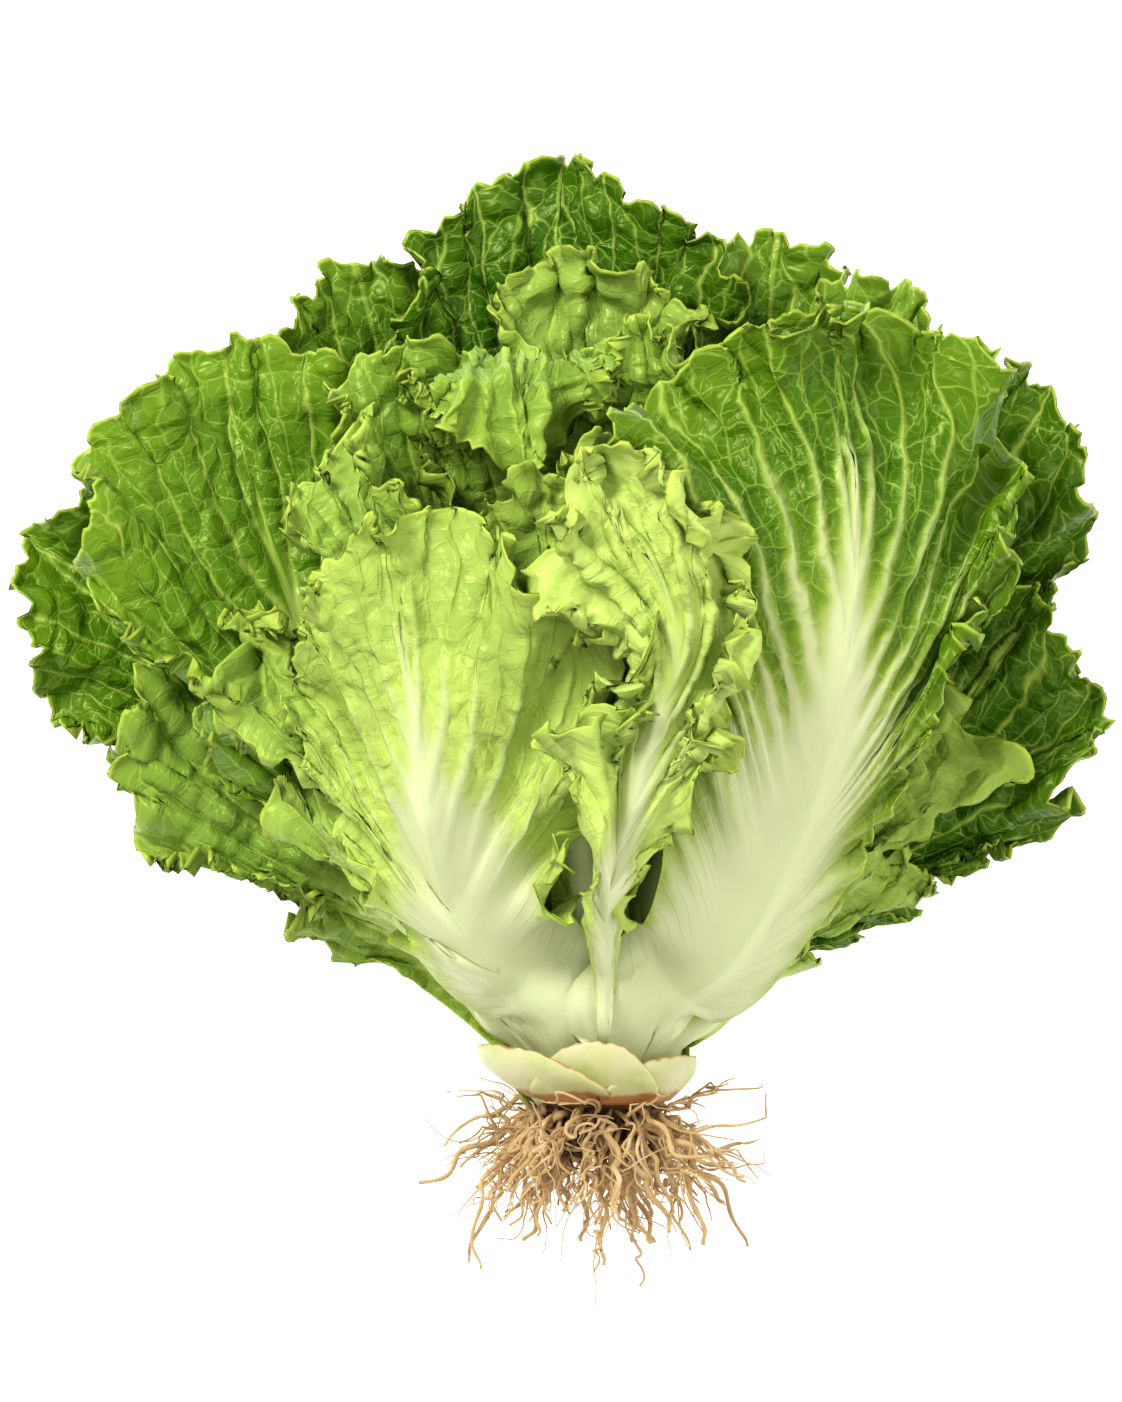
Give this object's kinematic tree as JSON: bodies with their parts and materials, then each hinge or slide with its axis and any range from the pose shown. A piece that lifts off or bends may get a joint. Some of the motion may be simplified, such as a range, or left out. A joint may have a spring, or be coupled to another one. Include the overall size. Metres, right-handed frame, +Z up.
{
  "type": "lettuce",
  "caption": "Loose-leaf green lettuce pulled with its roots: ruffled, pale-ribbed leaves round a short stem, lying on its back on a flat surface.",
  "frame": {"origin": "on the surface that the lettuce lies on, under its middle, where its lowest leaf is pressed flat", "axes": "+Z up; the plant's axis runs along +Y, from the roots (-Y) to the leaf tips (+Y); +X is to the right in the picture"},
  "size_m": [0.281, 0.2898, 0.1385],
  "materials": {
    "leaf_outer": "satin, puffed between the veins",
    "leaf_side": "satin, puffed between the veins",
    "leaf_inner": "satin, puffed between the veins",
    "leaf_front": "satin, white ribs",
    "stem": "satin",
    "stub": "satin, torn edges",
    "root": "matt, fibrous"
  },
  "bodies": {
    "root": {"under_middle": "leaf_outer", "under_left": "leaf_outer", "under_right": "leaf_outer", "back_left": "leaf_outer", "back_right": "leaf_outer", "back_middle": "leaf_outer", "back_side": "leaf_outer", "left_wide": "leaf_side", "right_upper": "leaf_side", "right_wide": "leaf_side", "right_low": "leaf_side", "left_low": "leaf_side", "left_upper": "leaf_side", "left_rolled": "leaf_side", "inner_back": "leaf_inner", "inner_left": "leaf_inner", "inner_right": "leaf_inner", "inner_hood": "leaf_inner", "inner_front": "leaf_inner", "heart_back": "leaf_inner", "heart_front": "leaf_inner", "left_inner": "leaf_inner", "front_left": "leaf_front", "front_right": "leaf_front", "front_frill": "leaf_front", "stem": "stem", "stub_front": "stub", "stub_left": "stub", "stub_right": "stub", "roots": "root"}
  },
  "joints": []
}
